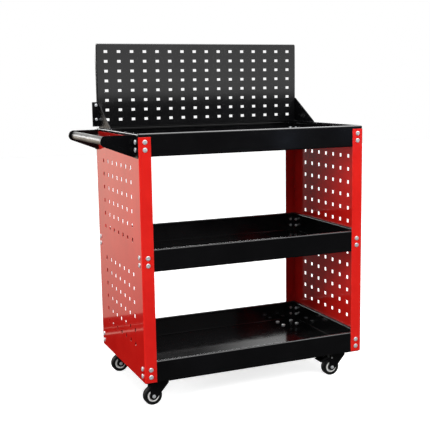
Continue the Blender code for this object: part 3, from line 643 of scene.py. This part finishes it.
def frame_fasteners():
    """Two bolts through each post at every tray, two through the panels' webs, and the board's screws."""
    for side in ("left", "right"):
        panel_low, panel_high = span(f"side_panel_{side}")
        web_x = panel_low.x if side == "left" else panel_high.x
        sign = -1 if side == "left" else 1
        for level in ("bottom", "middle", "top"):
            rim = span(f"tray_{level}")[1].z
            for i, height in enumerate(("upper", "lower")):
                node = f"flange_bolt_{side}_{level}_{height}"
                low, high = span(node)
                x, z = (low.x + high.x) / 2, (low.z + high.z) / 2
                bolt_at(node + "_button", (x, low.y + BOLT_SEAT, z), "front", nodes=[node])
                bolt_at(f"rear_bolt_{side}_{level}_{height}", (x, panel_high.y + GAP, z), "rear")
                z = rim - BOLT_BELOW_RIM - i * BOLT_PITCH
                for end in ("front", "rear"):
                    if side == "left" and level == "top":
                        continue  # the handle's bolts are here
                    y = (panel_high.y - WEB_BOLT_FROM_END) * (-1 if end == "front" else 1)
                    bolt_at(f"web_bolt_{side}_{level}_{end}_{height}", (web_x + sign * GAP, y, z), side)
    for end in ("front", "rear"):
        for height in ("upper", "lower"):
            node = f"handle_bolt_{end}_{height}"
            low, high = span(node)
            bolt_at(node + "_button", (low.x + BOLT_SEAT, (low.y + high.y) / 2, (low.z + high.z) / 2),
                    "left", HANDLE_CLAMP, [node])
    for height in ("upper", "lower"):
        node = f"bracket_screw_left_{height}"
        low, high = span(node)
        bolt_at(node + "_button", ((low.x + high.x) / 2, low.y + SCREW_SEAT, (low.z + high.z) / 2),
                "front", SCREW_CLAMP, [node], SCREW)
        node = f"bracket_screw_right_{height}"
        low, high = span(node)
        bolt_at(node + "_button", (high.x - SCREW_SEAT, (low.y + high.y) / 2, (low.z + high.z) / 2),
                "right", SCREW_CLAMP, [node], SCREW)


# ---- Casters


def plate(corner):
    """The mounting plate: the CAD's own shape with its edges rounded."""
    node = f"caster_plate_{corner}"
    bm = bmesh.new()
    bm.from_mesh(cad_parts[node].data)
    bmesh.ops.remove_doubles(bm, verts=bm.verts, dist=CAD_MERGE)
    bmesh.ops.dissolve_limit(bm, angle_limit=math.radians(1), verts=bm.verts, edges=bm.edges)
    pressed = soften(mesh_object(node + "_pressed", bm), WIDE_ROUNDING, angle=30)
    settle(pressed, "zinc", "frame", [node], Vector((0, 0, 0)))


def fork(corner, place):
    """A pressed yoke: two cheeks that taper to the axle, folded over into the crown."""
    eye_x, eye_z = eye = (-WHEEL_TRAIL, WHEEL_RADIUS)
    front_x, front_z = tangent((FORK_FRONT, FORK_SHOULDER), eye, FORK_EYE, -1)
    back_x, back_z = tangent((FORK_BACK, FORK_TOP), eye, FORK_EYE, 1)

    def limits(z):
        """How far back and forward the cheek reaches at a height."""
        round_part = math.sqrt(max(FORK_EYE ** 2 - (z - eye_z) ** 2, 0))
        back, front = eye_x - round_part, eye_x + round_part
        if z > back_z:
            back = back_x + (FORK_BACK - back_x) * (z - back_z) / (FORK_TOP - back_z)
        if z > front_z:
            front = front_x + (FORK_FRONT - front_x) * min((z - front_z) / (FORK_SHOULDER - front_z), 1)
        return back, front

    heights = {eye_z - FORK_EYE * math.cos(math.radians(angle)) for angle in range(12, 91, 13)}
    heights |= {front_z, back_z, *FORK_LINES, FORK_SHOULDER}
    half = [(-FORK_HALF_WIDTH, z) for z in sorted(heights)]
    half += arc((-FORK_HALF_WIDTH + FORK_BEND, FORK_TOP - FORK_BEND), FORK_BEND, 180, 90)
    pairs = []
    for y, z in half + [(-y, z) for y, z in reversed(half)]:
        back, front = limits(z)
        pairs.append(((back, y, z), (front, y, z)))
    yoke = ruled(f"caster_yoke_{corner}_pressing", pairs, (0, -1, 0), FORK_SHEET, cuts=6)
    settle(yoke, "black_paint", f"caster_yoke_{corner}", [f"caster_fork_{corner}"], place)
    top, low = FORK_TOP + 0.0013, FORK_TOP - 0.0008
    profile = [(RACE_BORE, top - 0.0008), (0.010, top), (0.015, top), (RACE_RADIUS - 0.0008, top - 0.0006),
               (RACE_RADIUS, low), (RACE_BORE, low)]
    race = turned(f"caster_race_{corner}", [profile], steps=40, width=WHEEL_ROUNDING, turn=UPRIGHT)
    settle(race, "zinc", f"caster_yoke_{corner}", place=place)


def wheel(corner, place):
    """A tyre with rounded shoulders on a pale hub, with a dark centre cap on each side."""
    body = f"caster_wheel_{corner}"
    lip = HUB_HALF_WIDTH + 0.0008
    shoulder = (WHEEL_RADIUS - TYRE_SHOULDER, TYRE_HALF_WIDTH - TYRE_SHOULDER)
    profile = [(HUB_RADIUS + GAP, lip - 0.0020), (HUB_RADIUS + 0.0008, lip),
               (TYRE_LIP, TYRE_HALF_WIDTH - 0.0004), *arc(shoulder, TYRE_SHOULDER, 90, 0, 5),
               (WHEEL_RADIUS, GROOVE_HALF_WIDTH), (WHEEL_RADIUS - GROOVE_DEPTH, GROOVE_HALF_FLOOR)]
    tyre = turned(f"caster_tyre_{corner}_ring", [mirrored(profile)], steps=64, width=WHEEL_ROUNDING)
    settle(tyre, "rubber", body, [f"caster_tyre_{corner}"], place)
    profile = [(WHEEL_BORE, CAP_SEAT), (CAP_RADIUS, CAP_SEAT), (CAP_RADIUS, CAP_RIM),
               (CAP_RADIUS + 0.0008, HUB_HALF_WIDTH - 0.0004), (CAP_RADIUS + 0.0014, HUB_HALF_WIDTH),
               (HUB_RADIUS - 0.0010, HUB_HALF_WIDTH), (HUB_RADIUS, HUB_HALF_WIDTH - 0.0010)]
    hub = turned(f"caster_hub_{corner}_rim", [mirrored(profile)], steps=56, width=WHEEL_ROUNDING)
    settle(hub, "hub_plastic", body, [f"caster_hub_{corner}"], place)
    seat, outer = CAP_SEAT + 0.0002, CAP_RADIUS - GAP
    boss = zip(CAP_BOSS, (CAP_RIM + 0.0002, CAP_RIM + 0.0012, CAP_FACE - 0.0004, CAP_FACE))
    profile = [(WHEEL_BORE, seat), (outer, seat), (outer, CAP_RIM - 0.0004),
               (CAP_RADIUS - 0.0012, CAP_RIM + 0.0004), *boss, (WHEEL_BORE, CAP_FACE)]
    sides = [[(radius, sign * height) for radius, height in profile] for sign in (-1, 1)]
    caps = turned(f"caster_bearing_cap_{corner}", sides, steps=48, width=WHEEL_ROUNDING)
    settle(caps, "satin_black", body, place=place)


def axle(corner, place):
    """The axle bolt with a domed hexagonal head and a nut."""
    face = FORK_HALF_WIDTH + GAP
    end, radius, collar = face + AXLE_HEAD_HEIGHT, AXLE_HEAD_RADIUS, 1.02 * AXLE_HEAD_RADIUS
    bore = AXLE_RADIUS + 0.0001
    head = [(0, end), (0.5 * radius, end), (0.86 * radius, end - 0.0005), (radius, end - 0.0012, 6),
            (radius, face + 0.0006, 6), (collar, face + 0.0005), (collar, face), (AXLE_RADIUS, face)]
    nut = [(AXLE_RADIUS, -face), (collar, -face), (collar, -face - 0.0005), (radius, -face - 0.0006, 6),
           (radius, -end + 0.0012, 6), (0.84 * radius, -end + 0.0004), (bore, -end + 0.0004),
           (bore, -end), (0, -end)]
    bolt = turned(f"caster_axle_{corner}_bolt", [head + nut])
    settle(bolt, "zinc", f"caster_yoke_{corner}", [f"caster_axle_{corner}"], place)


def brake(corner, place):
    """The foot lever: a folded channel whose web is the ribbed tread, on a pin through the yoke."""
    top, tip, pivot = Vector(PEDAL_TOP), Vector(PEDAL_TIP), Vector(PEDAL_PIVOT)
    along = (tip - top).normalized()
    out = Vector((along.y, -along.x))
    if out.dot((top + tip) / 2 - pivot) < 0:
        out = -out
    level = (top - pivot).dot(out) + PEDAL_SHEET / 2
    start, end = (top - pivot).dot(along) - PEDAL_LIP, (tip - pivot).dot(along) + PEDAL_LIP
    side = FORK_HALF_WIDTH + GAP + PEDAL_SHEET
    body = f"brake_lever_{corner}"

    def point(u, v, y):
        """A point u along the pedal and v out of it, seen from its pivot."""
        spot = pivot + along * u + out * v
        return (spot.x, y, spot.y)

    half = []
    for degrees in range(14, 91, 19):
        angle = math.radians(degrees)
        reach = PEDAL_EYE * math.sin(angle)
        half.append((-reach, reach, -PEDAL_EYE * math.cos(angle), -side))
    for y, v in arc((-side + PEDAL_BEND, level - PEDAL_BEND), PEDAL_BEND, 180, 90):
        half.append((start, end, v, y))
    section = half + [(a, b, v, -y) for a, b, v, y in reversed(half)]
    pairs = [(point(a, v, y), point(b, v, y)) for a, b, v, y in section]
    channel = ruled(f"brake_lever_{corner}_channel", pairs, (0, -1, 0), PEDAL_SHEET, cuts=5)
    settle(channel, "satin_black", body, [f"brake_pedal_{corner}"], place)
    bm = bmesh.new()
    rib_end = side - PEDAL_BEND - 0.001
    for share in (0.30, 0.45, 0.60, 0.75, 0.90):
        rib = arc((start + (end - start) * share, level - 0.0002), RIB_RADIUS, 0, 315, 7)
        lines = [[bm.verts.new(point(u, v, y)) for u, v in rib] for y in (-rib_end, 0, rib_end)]
        strips(bm, lines, closed=True)
        bm.faces.new(lines[0])
        bm.faces.new(lines[-1])
    ribs = soften(mesh_object(f"brake_lever_{corner}_ribs", bm), FINE_ROUNDING, angle=60)
    settle(ribs, "satin_black", body, place=place)
    face = side + GAP
    profile = [(0, face + 0.0014), (0.0020, face + 0.0013), (0.0031, face + 0.0008), (0.0036, face),
               (0.0022, face)]
    pin = turned(f"brake_pin_{corner}_rivet", [mirrored(profile)])
    settle(pin, "zinc", f"caster_yoke_{corner}", [f"brake_pin_{corner}"],
           place + Vector((pivot.x, 0, pivot.y)))


def caster(corner):
    """Plate, kingpin and bolts on the frame, then the yoke, wheel and axle, and a brake on the right."""
    low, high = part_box(f"caster_kingpin_{corner}")
    swivel = Vector(((low.x + high.x) / 2, (low.y + high.y) / 2, 0))
    hub = swivel + Vector((-WHEEL_TRAIL, 0, WHEEL_RADIUS))
    plate(corner)
    under = FORK_TOP - FORK_SHEET - GAP
    radius = KINGPIN_HEAD_RADIUS
    profile = [(0, high.z), (KINGPIN_RADIUS, high.z), (KINGPIN_RADIUS, under), (radius, under),
               (radius, low.z + 0.0010), (0.8 * radius, low.z + 0.0003), (0.45 * radius, low.z), (0, low.z)]
    rivet = turned(f"caster_kingpin_{corner}_rivet", [profile], steps=32, turn=UPRIGHT)
    settle(rivet, "zinc", "frame", [f"caster_kingpin_{corner}"], swivel)
    fork(corner, swivel)
    wheel(corner, hub)
    axle(corner, hub)
    if corner.endswith("right"):
        brake(corner, swivel)
    floor = span("tray_bottom")[0].z + SHEET
    for side, x in (("left", -PLATE_BOLT_X), ("right", PLATE_BOLT_X)):
        for end, y in (("front", -PLATE_BOLT_Y), ("rear", PLATE_BOLT_Y)):
            bolt_at(f"caster_bolt_{corner}_{side}_{end}", (x, y, floor), "up", PLATE_CLAMP, origin=swivel)


# ---- Light, floor and camera

FILL, OVERHEAD, BAND, WALL_LOW, WALL_HIGH = 0.24, 5.0, 3.5, 0.12, 2.0
FLOOR_REACH, FLOOR_GLOW = 8, 0.75
WARM, COOL, PLAIN = (1.0, 0.87, 0.73), (0.62, 0.74, 1.0), (1.0, 1.0, 1.0)

# Each card: its low and high corners, the axis along which its glow rises, from where to where and from
# what to what, and its colour
CARDS = {
    "wall_card": ((-3.4, 0.92, 0), (-0.505, 0.92, 0.73), 2, (0, 0.65), (0.46, 0.98), WARM),
    "floor_card": ((-3.4, 0.74, 0.001), (-0.43, 0.92, 0.001), 1, (0.7, 0.92), (0.42, 0.46), WARM),
    "floor_line": ((-3.4, 0.525, 0.001), (-0.40, 0.545, 0.001), 1, (0, 1), (0.5, 0.5), WARM),
    "floor_line_near": ((-3.4, 0.60, 0.001), (-0.40, 0.608, 0.001), 1, (0, 1), (0.35, 0.35), WARM),
    "front_card": ((-0.5, -0.45, 0.805), (1.0, -0.45, 1.10), 2, (0.805, 1.1), (1.25, 1.05), PLAIN),
    "window": ((1.50, -3.0, 0.40), (1.66, -3.0, 0.62), 2, (0.4, 0.6), (0.40, 0.20), COOL),
    "wide_window": ((1.98, -3.0, 0.40), (2.40, -3.0, 0.62), 2, (0.4, 0.6), (0.14, 0.22), COOL),
}

# Each lamp: its place, the point that it faces, its two sides and its power
LAMPS = {
    "key": ((-0.6, -2.7, 2.9), (0, 0, 0.55), (2.2, 1.8), 80.0),
    "front_fill": ((0.9, -1.7, 1.1), (0.1, 0, 0.35), (0.8, 0.6), 15.0),
    "left_light": ((-3.0, -0.95, 0.80), (0, 0, 0.45), (0.9, 1.0), 60.0),
    "right_light": ((3.2, 0.9, 1.0), (0, 0, 0.4), (1.2, 1.4), 24.0),
    "top": ((0.2, 0.5, 3.2), (0, 0, 0.4), (3.0, 3.0), 26.0),
}


def area_light(name, place, target, size, power):
    """A soft lamp that lights the cart but isn't mirrored by it."""
    data = bpy.data.lights.new(name, "AREA")
    data.shape = "RECTANGLE"
    data.size, data.size_y = size
    data.energy = power
    lamp = bpy.data.objects.new(name, data)
    lamp.location = place
    lamp.rotation_euler = (Vector(target) - Vector(place)).to_track_quat("-Z", "Y").to_euler()
    lamp.visible_glossy = lamp.visible_camera = False
    bpy.context.scene.collection.objects.link(lamp)


def card(name, low, high, axis, between, glow, colour):
    """A glowing card that only reflections see, upright if its glow rises along Z and lying if along Y."""
    low, high = HOME + Vector(low), HOME + Vector(high)
    bm = bmesh.new()
    corners = [(low.x, low.y, low.z), (high.x, low.y, low.z), (high.x, high.y, high.z),
               (low.x, high.y, high.z)]
    bm.faces.new([bm.verts.new(corner) for corner in corners])
    obj = mesh_object(name, bm, (0, -1, 0) if axis == 2 else (0, 0, 1))
    made = bpy.data.materials.new(name)
    made.use_nodes = True
    made.node_tree.nodes.clear()
    maker = add, link = node_maker(made)
    axes = add("ShaderNodeSeparateXYZ")
    link(add("ShaderNodeTexCoord").outputs["Object"], axes.inputs["Vector"])
    light = add("ShaderNodeEmission", Color=(*colour, 1))
    link(remap(maker, axes.outputs[axis], *between, *glow), light.inputs["Strength"])
    link(light.outputs[0], add("ShaderNodeOutputMaterial").inputs["Surface"])
    obj.data.materials.append(made)
    obj.visible_camera = obj.visible_diffuse = obj.visible_shadow = obj.visible_transmission = False


def surroundings():
    """White for the camera, an even fill, and for reflections a room darker in front than behind.

    The room's ramps run over the parts x, y and z of a ray's direction.
    """
    world = bpy.data.worlds.new("studio")
    bpy.context.scene.world = world
    world.use_nodes = True
    world.node_tree.nodes.clear()
    maker = add, link = node_maker(world)

    def ramp(value, start, end, low=0.0, high=1.0):
        return remap(maker, value, start, end, low, high, interpolation_type="SMOOTHSTEP")

    def combine(operation, *values):
        """Values multiplied or added up, one after the other."""
        result = values[0]
        for value in values[1:]:
            node = add("ShaderNodeMath", operation=operation)
            link(result, node.inputs[0])
            link(value, node.inputs[1])
            result = node.outputs[0]
        return result

    def choose(ray, otherwise, chosen):
        """A background for one kind of ray, and another for the rest."""
        node = add("ShaderNodeMixShader")
        link(rays.outputs[ray], node.inputs[0])
        link(otherwise.outputs[0], node.inputs[1])
        link(chosen.outputs[0], node.inputs[2])
        return node

    axes = add("ShaderNodeSeparateXYZ")
    link(add("ShaderNodeTexCoord").outputs["Generated"], axes.inputs["Vector"])
    x, y, z = axes.outputs
    # The wall behind the cart is dim round the horizon, and bright above it towards the right
    low_wall = combine("MULTIPLY", ramp(z, -0.28, -0.22), ramp(x, -0.56, -0.465, 0.42, 0.92),
                       ramp(z, 0.16, 0.28, 1.0, 0.25), ramp(z, -0.15, -0.07, WALL_LOW, 2.2 * WALL_LOW))
    high_wall = combine("MULTIPLY", ramp(z, 0.287, 0.325, 0.0, WALL_HIGH), ramp(x, 0.35, 0.45))
    # Two bands of light just above the horizon draw the bright lines along the rims
    low_band = combine("MULTIPLY", ramp(z, 0.02, 0.06, 0.0, BAND), ramp(z, 0.09, 0.13, 1.0, 0.0),
                       ramp(x, 0.29, 0.35, 2.0, 1.0))
    high_band = combine("MULTIPLY", ramp(z, 0.09, 0.13, 0.0, 0.7 * BAND), ramp(z, 0.17, 0.21, 1.0, 0.0),
                        ramp(x, 0.42, 0.47, 1.0, 0.04))
    wall, band = combine("ADD", low_wall, high_wall), combine("ADD", low_band, high_band)
    behind = combine("MULTIPLY", combine("ADD", wall, band), ramp(y, -0.25, 0.35))
    ahead = combine("MULTIPLY", ramp(z, 0.05, 0.60, 0.035, 0.5), ramp(y, -0.25, 0.35, 1.0, 0.0))
    overhead = ramp(z, 0.45, 0.90, 0.0, OVERHEAD)

    mirrored_room = add("ShaderNodeBackground", Color=(1, 1, 1, 1))
    link(combine("ADD", behind, ahead, overhead), mirrored_room.inputs["Strength"])
    fill = add("ShaderNodeBackground", Color=(1, 1, 1, 1), Strength=FILL)
    white = add("ShaderNodeBackground", Color=(1, 1, 1, 1), Strength=1.0)
    rays = add("ShaderNodeLightPath")
    seen = choose("Is Camera Ray", choose("Is Glossy Ray", fill, mirrored_room), white)
    link(seen.outputs[0], add("ShaderNodeOutputWorld").inputs["Surface"])


def pale_floor():
    """A pale floor that catches the cart's shadow."""
    bm = bmesh.new()
    bmesh.ops.create_grid(bm, x_segments=12, y_segments=12, size=FLOOR_REACH)
    obj = mesh_object("studio_floor", bm, (0, 0, 1))
    pale = finish("pale_floor", (0.80, 0.80, 0.80), (0.84, 0.84, 0.84), (0.6, 0.8), cloud=2.0, grain=60.0,
                  grain_depth=0.0002, grain_strength=0.05)
    shader = pale.node_tree.nodes["Principled BSDF"]
    shader.inputs["Emission Color"].default_value = (1, 1, 1, 1)
    shader.inputs["Emission Strength"].default_value = FLOOR_GLOW
    obj.data.materials.append(pale)
    obj.visible_glossy = obj.visible_diffuse = False


# The camera stands in front of the cart, to its left, a little above the board's foot
CAMERA_PLACE = (-0.99080, -2.23462, 0.84959)
CAMERA_AZIMUTH, CAMERA_ELEVATION, CAMERA_ROLL = -0.40254, 0.152434, -0.01545
CAMERA_LENS, CAMERA_SENSOR, CAMERA_FAR = 71.11, 36.0, 50


def camera():
    """The main view: turned level, then down, then rolled about its line of sight."""
    data = bpy.data.cameras.new("camera")
    data.lens = CAMERA_LENS
    data.sensor_width = CAMERA_SENSOR
    data.clip_end = CAMERA_FAR
    az, el, roll = CAMERA_AZIMUTH, CAMERA_ELEVATION, CAMERA_ROLL
    forward = Vector((math.sin(-az) * math.cos(el), math.cos(az) * math.cos(el), -math.sin(el)))
    right = Vector((math.cos(az), math.sin(az), 0))
    up = right.cross(forward)
    x_axis = math.cos(roll) * right + math.sin(roll) * up
    y_axis = -math.sin(roll) * right + math.cos(roll) * up
    turn = Matrix((x_axis, y_axis, -forward)).transposed().to_4x4()
    made = bpy.data.objects.new("camera", data)
    made.matrix_world = Matrix.Translation(HOME + Vector(CAMERA_PLACE)) @ turn
    bpy.context.scene.collection.objects.link(made)
    bpy.context.scene.camera = made


side_panel(-1, "side_panel_left")
side_panel(1, "side_panel_right")
for tray_node in ("tray_bottom", "tray_middle", "tray_top"):
    tray(tray_node)
pegboard()
brackets()
handle_arms()
handle_tube()
frame_fasteners()
for corner_name in CORNERS:
    caster(corner_name)
surroundings()
pale_floor()
for card_name, card_settings in CARDS.items():
    card(card_name, *card_settings)
for lamp_name, lamp_settings in LAMPS.items():
    area_light(lamp_name, *lamp_settings)
camera()
bpy.context.scene.view_settings.view_transform = "Standard"
